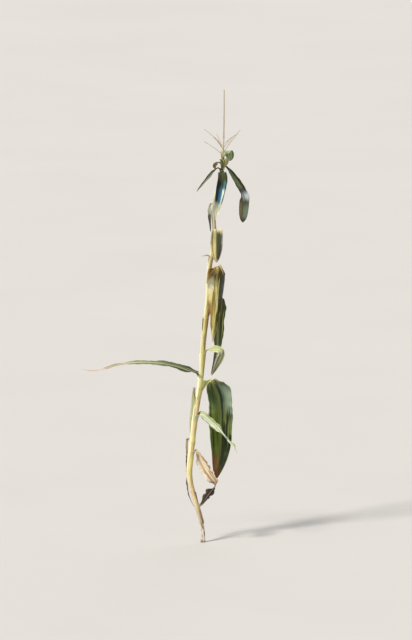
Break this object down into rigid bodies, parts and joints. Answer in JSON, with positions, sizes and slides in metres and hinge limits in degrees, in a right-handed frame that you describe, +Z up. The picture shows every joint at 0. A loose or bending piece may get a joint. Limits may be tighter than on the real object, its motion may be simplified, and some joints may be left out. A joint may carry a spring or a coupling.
{
  "type": "maize plant",
  "caption": "Tall single-stalk maize plant late in its season, with wilted arching leaves, a slim ear in its husk and a dry tassel, cut flat at ground level.",
  "frame": {"origin": "centre of the flat cut under the stalk, at ground level", "axes": "+Z up; +X to the right as the picture sees the plant; +Y away from the picture's viewer"},
  "size_m": [0.7706, 0.2288, 2.1],
  "materials": {
    "stalk": "smooth dry skin, straw to pale green",
    "sheath": "ribbed, satin, pale green to straw",
    "green_leaf": "satin, veined along its length",
    "withered_leaf": "matt, dry and wrinkled",
    "husk": "matt, ribbed along its length",
    "tassel": "matt and papery"
  },
  "bodies": {
    "root": {"stalk": "stalk", "sheath_00": "sheath", "sheath_01": "sheath", "sheath_02": "sheath", "sheath_03": "sheath", "sheath_04": "sheath", "sheath_05": "sheath", "sheath_06": "sheath", "sheath_07": "sheath", "sheath_08": "sheath", "sheath_09": "sheath", "sheath_10": "sheath", "sheath_11": "sheath", "sheath_12": "sheath", "sheath_13": "sheath", "sheath_14": "sheath", "sheath_15": "sheath", "sheath_16": "sheath", "sheath_17": "sheath", "leaf_01_rise": "withered_leaf", "leaf_01_hang": "withered_leaf", "leaf_02": "withered_leaf", "leaf_03": "green_leaf", "leaf_04_rise": "green_leaf", "leaf_04_hang": "green_leaf", "leaf_05": "green_leaf", "leaf_06_rise": "green_leaf", "leaf_06_hang": "green_leaf", "leaf_07_rise": "green_leaf", "leaf_07_hang": "green_leaf", "leaf_08_rise": "green_leaf", "leaf_08_hang": "green_leaf", "leaf_09": "withered_leaf", "leaf_10": "green_leaf", "leaf_11": "green_leaf", "leaf_12": "green_leaf", "leaf_13": "green_leaf", "leaf_14_rise": "green_leaf", "leaf_14_hang": "green_leaf", "leaf_15": "green_leaf", "leaf_16": "green_leaf", "leaf_17": "green_leaf", "ear": "husk", "tassel_spike": "tassel", "tassel_branch_1": "tassel", "tassel_branch_2": "tassel", "tassel_branch_3": "tassel", "tassel_branch_4": "tassel", "tassel_branch_5": "tassel", "tassel_branch_6": "tassel", "tassel_branch_7": "tassel"}
  },
  "joints": []
}
